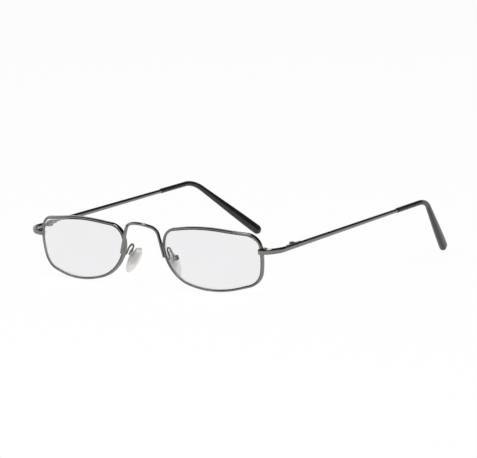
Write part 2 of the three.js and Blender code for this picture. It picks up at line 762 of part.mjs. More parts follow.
// The pad's oval is wider above than below by its taper.
// It draws in towards both faces along a quarter of an ellipse, "PAD_EDGE" wide.
function padShape() {
  const turns = spread(0, 2 * Math.PI, PAD_SIDES).slice(0, PAD_SIDES);
  const cushion = skin(spread(-90, 90, PAD_LAYERS).map((angle) => {
    const inset = PAD_EDGE * (1 - Math.cos(rad(angle)));
    const across = padMiddle + (PAD_THICKNESS / 2) * Math.sin(rad(angle));
    return turns.map((turn) => point(
      across,
      (PAD_WIDTH / 2 - inset) * Math.cos(turn) * (1 + PAD_TAPER * Math.sin(turn)),
      (PAD_LENGTH / 2 - inset) * Math.sin(turn) - PAD_HANG,
    ));
  }));
  return cut(cushion, insertBody(SEAT_GAP));
}

// Pad arm: a loop of thin wire from the back of the rim, over and down to the top of the box
function padArmShape() {
  const boxTop = boxHalf - ARM_DIAMETER / 2;
  const curve = new THREE.CatmullRomCurve3([
    padFoot.clone(),
    padFoot.clone().add(ARM_RISING),
    padFoot.clone().add(ARM_TOP),
    ARM_FALLING.clone().applyMatrix4(padFrame),
    point(boxTop, 0, 0).applyMatrix4(padFrame),
  ]);
  const route = routeOf(curve.getSpacedPoints(ARM_STEPS));
  const section = () => coreSection(ARM_DIAMETER);
  const whole = wire(route, spread(0, route.length, ARM_STEPS), section, point(1, 0, 0));
  return cut(whole, rimRoom, padBoxBody(SEAT_GAP).applyMatrix4(padFrame));
}

// Finishes

const metal = new THREE.MeshStandardMaterial({ color: 0x77767a, metalness: 1, roughness: 0.28 });
const steel = new THREE.MeshStandardMaterial({ color: 0xa9a9ac, metalness: 1, roughness: 0.3 });
const black = new THREE.MeshStandardMaterial({ color: 0x0c0c0d, metalness: 0, roughness: 0.25 });
const clear = new THREE.MeshStandardMaterial({
  color: 0xf2f1f5, metalness: 0, roughness: 0.05, transparent: true, opacity: 0.25,
});
const silicone = new THREE.MeshStandardMaterial({
  color: 0xd9d5d0, metalness: 0, roughness: 0.35, transparent: true, opacity: 0.7,
});

// Assembly

const glasses = new THREE.Group();
const front = new THREE.Group();
front.applyMatrix4(frontFrame);
glasses.add(front);

function sideGroups(parent, frame) {
  const groups = {};
  for (const [side, sign] of Object.entries(SIDES)) {
    const flip = new THREE.Matrix4().makeScale(sign, 1, 1);
    groups[side] = new THREE.Group();
    groups[side].applyMatrix4(flip.clone().multiply(frame).multiply(flip));
    parent.add(groups[side]);
  }
  return groups;
}

function addPiece(group, name, geometry, material) {
  const mesh = new THREE.Mesh(geometry, material.clone());
  mesh.name = name;
  group.add(mesh);
}

function addPair(groups, name, geometry, material) {
  addPiece(groups.left, `left_${name}`, geometry, material);
  addPiece(groups.right, `right_${name}`, mirrored(geometry), material);
}

const eyes = sideGroups(front, eyeFrame);
const frontSides = sideGroups(front, new THREE.Matrix4());
const pads = sideGroups(front, padFrame);
const hinges = sideGroups(glasses, hingeFrame);

addPiece(front, 'bridge', bridgeShape(), metal);
addPair(eyes, 'rim', rim, metal);
addPair(eyes, 'lens', lensShape(), clear);
addPair(frontSides, 'end_piece', endPiece, metal);
addPair(frontSides, 'rim_lock_upper', lockHalfShape(1), metal);
addPair(frontSides, 'rim_lock_lower', lockHalfShape(-1), metal);
addPair(frontSides, 'rim_lock_screw', lockScrewShape(), steel);
addPair(frontSides, 'pad_arm', padArmShape(), metal);
addPair(pads, 'pad_box', padBoxShape(), metal);
addPair(pads, 'pad_screw', padScrewShape(), steel);
addPair(pads, 'pad_insert', insertShape(), steel);
addPair(pads, 'pad', padShape(), silicone);
addPair(hinges, 'hinge_front_leaf', frontLeafShape(), metal);
addPair(hinges, 'hinge_temple_leaf', templeLeafShape(), metal);
addPair(hinges, 'hinge_screw', hingeScrewShape(), steel);
addPair(hinges, 'temple', templeShape(), metal);
addPair(hinges, 'temple_tip', tipShape(), black);

// The open glasses lean until their rims and tips both stand on z = 0, with their box centred there

function lowestPoint(name) {
  const mesh = glasses.getObjectByName(name);
  const places = mesh.geometry.getAttribute('position');
  const points = Array.from({ length: places.count }, (_, i) => (
    point(0, 0, 0).fromBufferAttribute(places, i).applyMatrix4(mesh.matrixWorld)
  ));
  return points.reduce((low, p) => (p.z < low.z ? p : low));
}

glasses.updateMatrixWorld(true);
const step = lowestPoint('left_temple_tip').sub(lowestPoint('left_rim'));
glasses.rotation.x = -Math.atan2(step.z, step.y);
const box = new THREE.Box3().setFromObject(glasses, true);
const middle = box.getCenter(point(0, 0, 0));
glasses.position.set(0, -middle.y, -box.min.z);

export default glasses;
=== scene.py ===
"""Reading glasses: a thin wire front with two lenses, barrel hinges, folding temples and nose pads.

Shapes are worked out in millimetres and degrees, then set down in metres in the shared frame.
+X is the wearer's left, +Y runs back along the temples and +Z is up.
"""

import bpy
import numpy as np
from mathutils import Matrix


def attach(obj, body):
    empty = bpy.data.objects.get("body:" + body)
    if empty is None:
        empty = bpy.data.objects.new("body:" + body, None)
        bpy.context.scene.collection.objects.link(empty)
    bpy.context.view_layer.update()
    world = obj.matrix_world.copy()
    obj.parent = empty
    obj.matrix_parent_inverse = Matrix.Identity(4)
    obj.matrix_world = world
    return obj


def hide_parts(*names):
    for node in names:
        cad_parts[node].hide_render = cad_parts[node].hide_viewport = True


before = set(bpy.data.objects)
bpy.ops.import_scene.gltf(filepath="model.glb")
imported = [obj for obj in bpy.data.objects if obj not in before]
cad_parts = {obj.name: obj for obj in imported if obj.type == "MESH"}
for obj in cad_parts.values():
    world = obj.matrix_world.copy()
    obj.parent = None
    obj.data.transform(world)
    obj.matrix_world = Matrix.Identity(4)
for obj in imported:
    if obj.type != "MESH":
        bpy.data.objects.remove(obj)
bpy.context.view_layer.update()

MM = 0.001
MM_PER_CM = 10
TINY = 1e-9

# How finely the curves are stepped
ARC_STEPS = 60
EASE_STEPS = 8
QUARTER_STEPS = 8
BLOCK_STEPS = 5
BARREL_SIDES = 64
HEAD_STEPS = 48
RIM_STEPS = 360
LENS_RINGS = 26
BRIDGE_STEPS = 260
END_STEPS = 150
TEMPLE_STEPS = 160
CORE_STEPS = 90
TIP_STEPS = 170
DOME_STEPS = 25
PAD_RINGS = 30
PAD_SIDES = 120
ARM_STEPS = 110

# Angles past which an edge stays sharp
WORKED_CREASE = 35
WIRE_CREASE = 50
LENS_CREASE = 25
SOFT_CREASE = 60

# How the open glasses stand: leaned until rims and tips touch the surface, then moved there
LEAN = -0.36985
STAND = (0, -69.92018, 13.07361)

# Eye outline: corners as [towards the temple, up, radius], in halves of the eye's width for the
# first and of its height for the others
EYE_WIDTH = 46.3
EYE_HEIGHT = 25.5
EYE_SETBACK = 0.34
NOSE_GAP = 20.7
EYE_CORNERS = (
    (1.01, 0, 2.35),
    (0.98, 0.79, 0.52),
    (-0.126, 1.063, 5.4),
    (-0.946, 0.822, 0.55),
    (-1.015, 0.212, 0.7),
    (-0.849, -0.692, 1.33),
    (0.033, -1.116, 3.9),
    (0.932, -0.757, 0.57),
)
BASE_RADIUS = 69
WRAP = 5.3
FRONT_TILT = 7.5

# Eyewire and lens
RIM_THICKNESS = 1.05
RIM_DEPTH = 1.7
RIM_EDGE = 0.5
RIM_ROUNDING = 0.42
RIM_EASE = 0.06
GROOVE_DEPTH = 0.35
GROOVE_WIDTH = 0.9
LENS_CENTRE = 2.0
LENS_EDGE = 1.2
LENS_GAP = 0.06
LENS_INNERMOST = 0.03
LENS_OUTERMOST = 0.99
BEVEL_ROWS = 4
SEAT_GAP = 0.05

# Bridge wire
BRIDGE_HEIGHT = 1.25
BRIDGE_DEPTH = 1.3
BRIDGE_EDGE = 0.5
BRIDGE_BLUNT = 0.38
BRIDGE_DRAW = 1.2
BRIDGE_CORNER_INSET = 2.52
BRIDGE_CORNER_RISE = 10.75
BRIDGE_CROWN_RISE = 4
BRIDGE_CROWN_FORWARD = 4.87
BRIDGE_SETBACK = 0.9
BRIDGE_FOOT_RISE = -0.7
BRIDGE_FOOT_OVERLAP = 0.15
BRIDGE_BEND = 5
BRIDGE_CROWN = 7.9

# Closing block on the rim, and its screw
LOCK_RISE = 3.8
LOCK_SLIT = 0.3
LOCK_ROOT = 0.45
LOCK_LENGTH = 2.6
LOCK_HALF_HEIGHT = 1
LOCK_FRONT = -0.88
LOCK_BACK = 0.95
LOCK_EDGE = 0.15
LOCK_SCREW_RADIUS = 0.45
LOCK_SCREW_OUT = 1.65
LOCK_HEAD_RADIUS = 0.75
LOCK_HEAD_HEIGHT = 0.35

# End piece: a flat bar from the rim's front, bent back to the hinge
END_HEIGHT = 2.35
END_THICKNESS = 1.2
END_EDGE = 0.5
END_ROUNDING = 0.95
END_OVERLAP = 0.5
END_FLAT = 6
END_BEND = 7
END_EASE = 0.15

# Hinge
HINGE_OUTSET = 6.94
HINGE_SETBACK = 18.9
HINGE_RISE = 5.98
BUTT_GAP = 0.1
KNUCKLE_RADIUS = 1.2
KNUCKLE_HEIGHT = 0.7
KNUCKLE_GAP = 0.06
LEAF_LENGTH = 4.5
LEAF_HEIGHT = 1.9
LEAF_THICKNESS = 0.8
LUG_OVERLAP = 0.2
PIN_RADIUS = 0.5
PIN_HEAD_RADIUS = 0.95
PIN_HEAD_HEIGHT = 0.25

# Slotted heads, and the small rounding of all worked edges
SLOT_WIDTH = 0.2
SLOT_DEPTH = 0.15
HEAD_BEVEL = 0.12
HEAD_SHOULDER_DROP = 1 / 3
HEAD_SHOULDER_INSET = 0.3
HEAD_EDGE = 0.03
HEAD_OVERLAP = 0.02
WORKED_EDGE = 0.08
SLIVER = 1e-4
NEARLY_HALF = 0.499

# Temple wire and its plastic tip
TEMPLE_WIDTH = 1.4
TEMPLE_HEIGHT = 2.2
TEMPLE_EDGE = 0.7
TEMPLE_ROUNDING = 1
TEMPLE_END = 1.6
TEMPLE_STRAIGHT = 94.2
TEMPLE_BEND = 13
TEMPLE_SPLAY = 1.56
TEMPLE_LIFT = 4.36
CORE_DIAMETER = 1
CORE_SHORT = 9
TIP_SLEEVE = 16.4
TIP_LENGTH = 41.3
TIP_DROP = 42.6
TIP_INWARD = 16.4
TIP_MOUTH = 2.1
TIP_PADDLE_HEIGHT = 4.1
TIP_PADDLE_WIDTH = 3.1
TIP_DOME = 2.2
TIP_LIP = 0.2
TIP_POINT = 1e-3
TIP_BORE_GAP = 0.1

# Nose pad with its plate, cup and wire arm
PAD_LENGTH = 11.6
PAD_WIDTH = 7.6
PAD_TAPER = 0.15
PAD_THICKNESS = 2.2
PAD_FIRST_RING = 2
PAD_CROWN_POWER = 2.5
PAD_BACK_POWER = 5
PAD_ARM_RISE = -0.5
PAD_OUTSET = 1
PAD_SETBACK = 6
PAD_DROP = 2.1
PAD_FRONTAL = 26
PAD_SPLAY = 2
PAD_LEAN = 11
PAD_HANG = 1.9
PAD_CLEARANCE = 0.3
CUP_SIZE = 1.9
CUP_WALL = 0.45
CUP_ROOM = 0.1
CUP_EDGE = 0.12
PAD_SCREW_RADIUS = 0.4
PAD_HEAD_RADIUS = 0.7
PAD_HEAD_HEIGHT = 0.35
PLATE_LENGTH = 5.4
PLATE_WIDTH = 3.2
PLATE_THICKNESS = 0.5
TAB_RADIUS = 0.6
TAB_GAP = 0.06
ARM_DIAMETER = 0.8
ARM_EASE = 0.1
ARM_FOOT_RISE = -1.9
ARM_LOOP = (
    (0.75, 2, -1.15),
    (0.3, 2.6, 0.1),
    (-0.6, 2.75, 1.5),
    (-1.05, 4.05, 2.35),
    (-0.9, 5.15, 1.85),
)
ARM_FALLING = ((-0.15, -1.1, 2.5), (0.15, -1.25, 1.4))

# Camera, as fitted to the photograph's view
CAMERA_AZIMUTH = 37.3763
CAMERA_ELEVATION = 8.095
CAMERA_ROLL = -1.1376
CAMERA_DISTANCE = 1960
CAMERA_TARGET = (49.22, -69.8314, 26.8303)
CAMERA_LENS = 371.7057
CAMERA_SENSOR = 36
CAMERA_NEAREST = 100
CAMERA_FURTHEST = 50000

X = np.array((1.0, 0, 0))
Y = np.array((0, 1.0, 0))
Z = np.array((0, 0, 1.0))


# Frames: a turn and an origin

def turned(axis, degrees):
    """Rotation matrix about one axis."""
    return np.array(Matrix.Rotation(np.radians(degrees), 3, axis))


def within(outer, turn, origin):
    """A frame given inside another: the turns multiply, and the origin is carried by the outer one."""
    return outer[0] @ turn, outer[0] @ np.array(origin, float) + outer[1]


def placed(points, at):
    """Points of a frame, seen from outside it."""
    return points @ at[0].T + at[1]


def unit(vectors):
    """Vectors divided by their lengths."""
    return vectors / np.linalg.norm(vectors, axis=-1, keepdims=True)


def smooth(values, low, high):
    """Three times the square less twice the cube of the share of the way from low to high."""
    share = np.clip((values - low) / (high - low), 0, 1)
    return share * share * (3 - 2 * share)


# Lines and sections

def rounded_line(corners, radii, closed):
    """Straight legs between corners, each corner replaced by an arc of its radius that touches both legs.
    The two ends of an open line stay as they are."""
    corners = np.asarray(corners, float)
    before = np.roll(corners, 1, 0) - corners
    after = np.roll(corners, -1, 0) - corners
    room_before = np.linalg.norm(before, axis=1)
    room_after = np.linalg.norm(after, axis=1)
    half = np.arccos(np.clip((unit(before) * unit(after)).sum(1), -1, 1)) / 2
    reach = np.asarray(radii, float) / np.tan(half)
    if not closed:
        reach[[0, -1]] = 0
    share_before = room_before / np.maximum(reach + np.roll(reach, 1), TINY)
    share_after = room_after / np.maximum(reach + np.roll(reach, -1), TINY)
    reach *= np.minimum(1, np.minimum(share_before, share_after))
    radius = reach * np.tan(half)
    centre = corners + unit(unit(before) + unit(after)) * (radius / np.sin(half))[:, None]
    spoke = corners + unit(before) * reach[:, None] - centre
    arcs = []
    for i in range(len(corners)):
        steps = 1 if reach[i] == 0 else ARC_STEPS
        angle = np.linspace(0, np.pi - 2 * half[i], steps)[:, None]
        arcs.append(centre[i] + np.cos(angle) * spoke[i] - np.sin(angle) * unit(before[i]) * radius[i])
    return np.concatenate(arcs)


def smooth_line(points):
    """Centripetal spline through points: each span is a cubic whose end slopes come from its neighbours."""
    ends = np.vstack((2 * points[0] - points[1], points, 2 * points[-1] - points[-2]))
    share = np.linspace(0, 1, ARC_STEPS)[:, None]
    spans = []
    for p0, p1, p2, p3 in zip(ends, ends[1:], ends[2:], ends[3:]):
        d0, d1, d2 = (np.sqrt(np.linalg.norm(b - a)) for a, b in ((p0, p1), (p1, p2), (p2, p3)))
        slope1 = ((p1 - p0) / d0 - (p2 - p0) / (d0 + d1) + (p2 - p1) / d1) * d1
        slope2 = ((p2 - p1) / d1 - (p3 - p1) / (d1 + d2) + (p3 - p2) / d2) * d1
        square = 3 * (p2 - p1) - 2 * slope1 - slope2
        cube = 2 * (p1 - p2) + slope1 + slope2
        spans.append(p1 + slope1 * share + square * share ** 2 + cube * share ** 3)
    return np.concatenate(spans)


def route_of(line):
    """A line with the distance run at each of its points."""
    steps = np.linalg.norm(np.diff(line, axis=0), axis=1)
    apart = steps > TINY
    return np.append(0, np.cumsum(steps[apart])), line[np.append(True, apart)]


def along(route, distance):
    """The point at each distance along a route."""
    marks, line = route
    return np.stack([np.interp(distance, marks, line[:, i]) for i in range(3)], -1)


def stations(start, end, count, ease):
    """Distances from start to end, evenly spread, and closer at both ends over the ease."""
    near = ease * (1 - np.cos(np.linspace(0, np.pi / 2, EASE_STEPS)[:-1]))
    return np.concatenate((start + near, np.linspace(start + ease, end - ease, count), end - near[::-1]))


def drawn_in(distance, start, end, ease):
    """How far a section draws in near both ends: a quarter circle with the ease as its radius."""
    inside = np.minimum(distance - start, end - distance)
    short = np.clip(ease - inside, 0, ease)
    return ease - np.sqrt(ease ** 2 - short ** 2)


def bar_section(width, height, edge, rise=None, steps=QUARTER_STEPS):
    """Rounded rectangles, one for each width: four quarter ellipses joined by straight sides.
    Each reaches "edge" across and "rise" up, and is a quarter circle where only the first is given."""
    sizes = np.broadcast_arrays(width, height, edge, edge if rise is None else rise)
    width, height, edge, rise = (np.reshape(size, (-1, 1)) for size in sizes)
    edge = np.minimum(edge, NEARLY_HALF * width)
    rise = np.minimum(rise, NEARLY_HALF * height)
    quarter = np.linspace(0, 90, steps + 1)
    angle = np.radians(np.concatenate((quarter, quarter + 90, quarter + 180, quarter + 270)))
    side = np.repeat((1, -1, -1, 1), steps + 1)
    top = np.repeat((1, 1, -1, -1), steps + 1)
    across = side * (width / 2 - edge) + edge * np.cos(angle)
    up = top * (height / 2 - rise) + rise * np.sin(angle)
    return np.stack((across, up), -1)


def set_off(points, section, first, second):
    """A section at each point, drawn on two directions there."""
    return points[:, None] + section[..., :1] * first[:, None] + section[..., 1:] * second[:, None]


def carry(route, distance, section, side):
    """A section carried along a route: its first axis is the side direction made square to the travel."""
    nudge = 0.02
    travel = unit(along(route, distance + nudge) - along(route, distance - nudge))
    across = unit(side - (travel @ side)[:, None] * travel)
    up = np.cross(across, travel)
    return set_off(along(route, distance), section, across, up)


# Shells: points, triangles and a map of the surface

def shell(rings):
    """Rings of points joined to a closed skin. Both ends close by a fan to the middle of their ring.
    The map runs along the rings' middles and round the middle ring, in centimetres."""
    rows, cols = rings.shape[:2]
    row, col = (grid.ravel() for grid in np.meshgrid(np.arange(rows - 1), np.arange(cols), indexing="ij"))
    here = row * cols + col
    beside = row * cols + (col + 1) % cols
    col_list = np.arange(cols)
    col_next = (col_list + 1) % cols
    last_row = (rows - 1) * cols
    first_middle = np.full(cols, rows * cols)
    faces = np.concatenate((
        np.stack((here, beside, beside + cols), -1),
        np.stack((here, beside + cols, here + cols), -1),
        np.stack((first_middle, col_next, col_list), -1),
        np.stack((first_middle + 1, last_row + col_list, last_row + col_next), -1),
    ))
    middles = rings.mean(1)
    run = np.append(0, np.cumsum(np.linalg.norm(np.diff(middles, axis=0), axis=1)))
    waist = rings[rows // 2]
    round_run = np.append(0, np.cumsum(np.linalg.norm(np.roll(waist, -1, 0) - waist, axis=1)))
    zero = np.zeros(cols)
    across = np.concatenate((
        np.stack((run[row], run[row], run[row + 1]), -1),
        np.stack((run[row], run[row + 1], run[row + 1]), -1),
        np.stack((zero, zero, zero), -1),
        np.stack((zero + run[-1], zero + run[-1], zero + run[-1]), -1),
    ))
    around = np.concatenate((
        np.stack((round_run[col], round_run[col + 1], round_run[col + 1]), -1),
        np.stack((round_run[col], round_run[col + 1], round_run[col]), -1),
        np.stack((round_run[col_list], round_run[col_list + 1], round_run[col_list]), -1),
        np.stack((round_run[col_list], round_run[col_list], round_run[col_list + 1]), -1),
    ))
    points = np.vstack((rings.reshape(-1, 3), middles[0], middles[-1]))
    surface = np.stack((across, around), -1) / MM_PER_CM
    corners = points[faces] - points.mean(0)
    volume = np.einsum("ij,ij->", corners[:, 0], np.cross(corners[:, 1], corners[:, 2]))
    if volume < 0:
        faces = faces[:, ::-1]
        surface = surface[:, ::-1]
    return points, faces, surface


def moved(part, at):
    """A shell placed by a frame."""
    return placed(part[0], at), part[1], part[2]


def block(low, high, edge=WORKED_EDGE):
    """A box with rounded edges: rounded rectangles stacked up, drawn in by a quarter circle at both ends."""
    low, high = np.array(low, float), np.array(high, float)
    size = high - low
    rise = stations(0, size[2], 2, edge)
    inset = drawn_in(rise, 0, size[2], edge)
    section = bar_section(size[0] - 2 * inset, size[1] - 2 * inset, edge - inset + SLIVER, steps=BLOCK_STEPS)
    rings = np.concatenate((section, np.broadcast_to(rise[:, None, None], section[..., :1].shape)), -1)
    return shell(rings + (low + high) / 2 * (1, 1, 0) + low * (0, 0, 1))


def barrel(radius, low, high, edge=WORKED_EDGE):
    """A round bar along Z with rounded ends: circles that draw in by a quarter circle."""
    rise = stations(low, high, 2, edge)
    reach = radius - drawn_in(rise, low, high, edge)
    angle = np.linspace(0, 2 * np.pi, BARREL_SIDES, endpoint=False)
    spokes = np.stack((np.cos(angle), np.sin(angle), np.zeros(BARREL_SIDES)), -1)
    return shell(reach[:, None, None] * spokes + rise[:, None, None] * Z)


def head_half(radius, low, high, side):
    """Half of a slotted head: circles whose points nearer to the middle than the slot's wall lie on it."""
    rise = np.array((low, high - HEAD_BEVEL, high - HEAD_BEVEL * HEAD_SHOULDER_DROP, high))
    reach = radius - np.array((0, 0, HEAD_SHOULDER_INSET, 1)) * HEAD_BEVEL
    angle = np.linspace(0, np.pi, HEAD_STEPS)
    across = reach[:, None] * np.cos(angle)
    out = side * np.maximum(reach[:, None] * np.sin(angle), SLOT_WIDTH / 2)
    return shell(np.stack((across, out, np.broadcast_to(rise[:, None], across.shape)), -1))


def slotted_screw(at, radius, length, head_radius, head_height):
    """A screw along a frame's Z: the shank runs down from its seat at the origin. Above the seat are the
    head's floor and its two halves beside the slot."""
    floor = head_height - SLOT_DEPTH
    parts = (
        barrel(radius, -length, floor / 2),
        barrel(head_radius, 0, floor, HEAD_EDGE),
        head_half(head_radius, floor - HEAD_OVERLAP, head_height, 1),
        head_half(head_radius, floor - HEAD_OVERLAP, head_height, -1),
    )
    return [moved(part, at) for part in parts]


# Frames of the left side

EYE_SPACING = EYE_WIDTH + NOSE_GAP
whole = (turned("X", LEAN), np.array(STAND))
front = within(whole, turned("X", FRONT_TILT), (0, 0, 0))
eye_in_front = (turned("Z", WRAP), np.array((EYE_SPACING / 2, EYE_SETBACK, 0)))
eye = within(front, *eye_in_front)
hinge_turn = turned("Z", TEMPLE_SPLAY) @ turned("X", TEMPLE_LIFT)
hinge_place = np.array(((EYE_SPACING + EYE_WIDTH) / 2 + HINGE_OUTSET, HINGE_SETBACK, HINGE_RISE))
hinge = within(whole, hinge_turn, hinge_place)
front_back = turned("X", -FRONT_TILT)
hinge_in_front = (front_back @ hinge_turn, front_back @ hinge_place)


# Eyewire and lens

def eye_loop():
    """The eye's outline, as corners rounded off, flat."""
    shares = np.array(EYE_CORNERS)
    halves = np.array((EYE_WIDTH, EYE_HEIGHT)) / 2
    corners = np.column_stack((shares[:, :2] * halves, np.zeros(len(shares))))
    return rounded_line(corners, shares[:, 2] * EYE_HEIGHT / 2, True)


def crossing(loop, rise, on_temple_side):
    """Where the outline passes a height on one side: its place in the loop and the point."""
    ahead = np.roll(loop, -1, 0)
    passes = ((loop[:, 1] - rise) * (ahead[:, 1] - rise) <= 0) & (loop[:, 1] != ahead[:, 1])
    i = np.flatnonzero(passes & ((loop[:, 0] > 0) == on_temple_side))[0]
    share = (rise - loop[i, 1]) / (ahead[i, 1] - loop[i, 1])
    return i, loop[i] + (ahead[i] - loop[i]) * share


def on_base(u, v):
    """Points on the lens's base sphere. Their depth is its radius, less the root of what is left of the
    radius squared when u squared and v squared are taken off."""
    return np.stack((u, BASE_RADIUS - np.sqrt(BASE_RADIUS ** 2 - u * u - v * v), v), -1)


def open_route(loop):
    """The outline from just above the closing slit round to just below it."""
    top, top_at = crossing(loop, LOCK_RISE + LOCK_SLIT / 2, True)
    bottom, bottom_at = crossing(loop, LOCK_RISE - LOCK_SLIT / 2, True)
    count = len(loop)
    between = np.roll(loop, -(top + 1), 0)[:(bottom - top) % count or count]
    return route_of(np.vstack((top_at, between, bottom_at)))


def rim_frames(route, distance):
    """Points of the rim with their outward and backward directions. Back is +Y made square to the travel."""
    nudge = 0.05
    here = along(route, distance)
    ahead = along(route, distance + nudge)
    behind = along(route, distance - nudge)
    travel = unit(on_base(ahead[:, 0], ahead[:, 1]) - on_base(behind[:, 0], behind[:, 1]))
    back = unit(Y - travel[:, 1:2] * travel)
    return on_base(here[:, 0], here[:, 1]), np.cross(back, travel), back


def rim_at(loop, rise, on_temple_side):
    """Where the rim's middle passes a height, in the front's frame."""
    at = crossing(loop, rise, on_temple_side)[1]
    return placed(on_base(at[0], at[1]), eye_in_front)


outline = eye_loop()
rim_route = open_route(outline)
rim_distance = stations(0, rim_route[0][-1], RIM_STEPS, RIM_EASE)
rim_middle, rim_out, rim_back = rim_frames(rim_route, rim_distance)


def off_rim(out, back):
    """Points set off from the rim's middle."""
    return rim_middle + rim_out * np.reshape(out, (-1, 1)) + rim_back * np.reshape(back, (-1, 1))


def eyewire():
    """A rounded bar with a groove in the middle of its inner face, carried round the eye."""
    bar = bar_section(RIM_THICKNESS, RIM_DEPTH, RIM_EDGE, RIM_ROUNDING)[0]
    inner, lip = -RIM_THICKNESS / 2, GROOVE_WIDTH / 2
    trough = ((inner, lip), (inner + GROOVE_DEPTH, 0), (inner, -lip))
    half = len(bar) // 2
    section = np.concatenate((bar[:half], trough, bar[half:]))
    ease = drawn_in(rim_distance, 0, rim_distance[-1], RIM_EASE)
    section = section * (1 - ease[:, None, None])
    return shell(set_off(rim_middle, section, rim_out, rim_back))


def lens_half_depth(u, v):
    """Half of the lens's thickness, which falls with the square of the distance from its middle."""
    return (LENS_CENTRE - (LENS_CENTRE - LENS_EDGE) * (u * u + v * v) / (EYE_WIDTH / 2) ** 2) / 2


def lens_glass():
    """Both faces are the eye's outline drawn in towards the middle, off the base sphere by half the
    thickness along its normal. Between them a bevel stands in the rim's groove."""
    wall = -RIM_THICKNESS / 2 - LENS_GAP
    ridge = -RIM_THICKNESS / 2 + GROOVE_DEPTH - LENS_GAP
    lip = GROOVE_WIDTH / 2 - LENS_GAP
    inside = off_rim(wall, 0)
    shares = np.linspace(LENS_INNERMOST, LENS_OUTERMOST, LENS_RINGS)[:, None]
    u, v = shares * inside[:, 0], shares * inside[:, 2]
    middle = on_base(u, v)
    normal = unit(np.array((0, BASE_RADIUS, 0)) - middle)
    face = normal * lens_half_depth(u, v)[..., None]
    edge_depth = lens_half_depth(rim_middle[:, 0], rim_middle[:, 2])
    band = np.stack((off_rim(wall, -edge_depth), off_rim(wall, -lip), off_rim(ridge, 0),
                     off_rim(wall, lip), off_rim(wall, edge_depth)))
    return shell(np.concatenate((middle - face, band, (middle + face)[::-1])))


def lens_edge_faces():
    """1 for the triangles of the lens that lie on the rows of its bevel, else 0."""
    rows, cols = 2 * LENS_RINGS + BEVEL_ROWS, len(rim_distance)
    row = np.repeat(np.arange(rows), cols)
    bevel = ((row >= LENS_RINGS) & (row < LENS_RINGS + BEVEL_ROWS)).astype(np.int32)
    return np.concatenate((bevel, bevel, np.zeros(2 * cols, np.int32)))


# Bridge

def bridge_wire():
    """A rounded bar carried over the nose: up from one foot, over a crown that bows forward, and down."""
    foot = rim_at(outline, BRIDGE_FOOT_RISE, False)
    foot += (BRIDGE_FOOT_OVERLAP, -(RIM_DEPTH + BRIDGE_DEPTH) / 2 - SEAT_GAP, 0)
    corner = np.array((NOSE_GAP / 2 - BRIDGE_CORNER_INSET, foot[1] + BRIDGE_SETBACK, BRIDGE_CORNER_RISE))
    apex = np.array((0, corner[1] - BRIDGE_CROWN_FORWARD, BRIDGE_CORNER_RISE + BRIDGE_CROWN_RISE))
    flip = np.array((-1, 1, 1))
    corners = (foot, corner, apex, corner * flip, foot * flip)
    route = route_of(rounded_line(corners, (0, BRIDGE_BEND, BRIDGE_CROWN, BRIDGE_BEND, 0), False))
    length = route[0][-1]
    distance = stations(0, length, BRIDGE_STEPS, BRIDGE_BLUNT)
    inset = BRIDGE_DRAW * drawn_in(distance, 0, length, BRIDGE_BLUNT)
    section = bar_section(BRIDGE_DEPTH - inset, BRIDGE_HEIGHT - inset, BRIDGE_EDGE)
    return shell(carry(route, distance, section, Y))


# End piece and closing block

lock = rim_at(outline, LOCK_RISE, True)


def end_bar():
    """A flat bar that crosses the rim's front, turns one bend and takes on the temple's section."""
    inner = lock - (END_OVERLAP, (RIM_DEPTH + END_THICKNESS) / 2 + SEAT_GAP, 0)
    butt = placed(np.array((0, -BUTT_GAP / 2, 0)), hinge_in_front)
    back = hinge_in_front[0] @ Y
    corner = butt + back * (inner[1] - butt[1]) / back[1]
    route = route_of(rounded_line((inner, corner, butt), (0, END_BEND, 0), False))
    length = route[0][-1]
    distance = stations(0, length, END_STEPS, END_EASE)
    share = smooth(distance, END_FLAT, length - LEAF_LENGTH)
    inset = 2 * drawn_in(distance, 0, length, END_EASE)
    thickness = END_THICKNESS + (TEMPLE_WIDTH - END_THICKNESS) * share - inset
    height = END_HEIGHT + (TEMPLE_HEIGHT - END_HEIGHT) * share - inset
    rise = END_ROUNDING + (TEMPLE_ROUNDING - END_ROUNDING) * share
    section = bar_section(height, thickness, rise, END_EDGE + (TEMPLE_EDGE - END_EDGE) * share)
    return shell(carry(route, distance, section, hinge_in_front[0] @ Z))


def closing_block(side):
    """One half of the closing block, above or below the rim's slit."""
    low, high = sorted((side * LOCK_SLIT / 2, side * (LOCK_SLIT / 2 + LOCK_HALF_HEIGHT)))
    return block(lock + (LOCK_ROOT, LOCK_FRONT, low), lock + (LOCK_LENGTH, LOCK_BACK, high), LOCK_EDGE)


def closing_screw():
    """The screw that enters the closing block from above."""
    at = (np.eye(3), lock + (LOCK_SCREW_OUT, 0, LOCK_SLIT / 2 + LOCK_HALF_HEIGHT + SEAT_GAP))
    length = 2 * LOCK_HALF_HEIGHT + LOCK_SLIT
    return slotted_screw(at, LOCK_SCREW_RADIUS, length, LOCK_HEAD_RADIUS, LOCK_HEAD_HEIGHT)


# Hinge, in its own frame: x outwards, y back along the temple, z along the pin

PIN_INSET = TEMPLE_WIDTH / 2 + SEAT_GAP + KNUCKLE_RADIUS
MIDDLE_TOP = KNUCKLE_HEIGHT / 2
UPPER_FLOOR = MIDDLE_TOP + KNUCKLE_GAP
UPPER_TOP = UPPER_FLOOR + KNUCKLE_HEIGHT
KNUCKLE_REACH = KNUCKLE_RADIUS + KNUCKLE_GAP
LUG_REACH = KNUCKLE_REACH + LUG_OVERLAP
LEAF_FACE = -TEMPLE_WIDTH / 2 - SEAT_GAP
LEAF_BACK = LEAF_FACE - LEAF_THICKNESS
on_pin = (np.eye(3), np.array((-PIN_INSET, 0, 0)))


